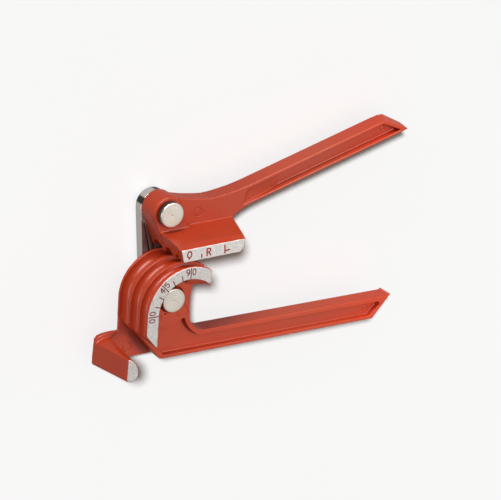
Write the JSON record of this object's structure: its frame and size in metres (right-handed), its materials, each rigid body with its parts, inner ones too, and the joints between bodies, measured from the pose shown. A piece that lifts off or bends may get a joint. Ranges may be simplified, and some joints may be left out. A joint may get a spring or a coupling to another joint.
{
  "type": "manual tube bender",
  "caption": "Hand tube bender with a stepped three-groove forming die, an anvil post, an angle scale, a pivoting link and a hinged shoe lever.",
  "frame": {"origin": "on the die pivot axis, at the plane the tool lies on (outer face of the peened tail of the die pin)", "axes": "+Z along the pivot axes towards the angle scale, +X along the lower handle towards its end, +Y towards the ninety-degree mark of the scale"},
  "size_m": [0.1985, 0.1274, 0.0422],
  "materials": {
    "casting_paint": "satin red enamel on a zinc die casting; scale band, shoe face and anvil end left bare",
    "link_steel": "cold-rolled flat bar with ground edges",
    "pin_steel": "turned, nickel plated",
    "washer_steel": "stamped"
  },
  "bodies": {
    "die_body": {"die_handle_casting": "casting_paint", "die_spacer_washer": "washer_steel"},
    "link_body": {"link_plate": "link_steel", "die_pivot_pin": "pin_steel", "handle_pivot_pin": "pin_steel", "handle_spacer_washer": "washer_steel"},
    "shoe_body": {"shoe_handle_casting": "casting_paint"}
  },
  "joints": [
    {"name": "link_pivot", "type": "hinge", "parent": "die_body", "child": "link_body", "pos_m": [0, 0, 0.02], "axis": [0, 0, 1], "range_deg": [-15, 92]},
    {"name": "handle_pivot", "type": "hinge", "parent": "link_body", "child": "shoe_body", "pos_m": [-0.00416, 0.05063, 0.02], "axis": [0, 0, 1], "range_deg": [-7, 100]}
  ]
}
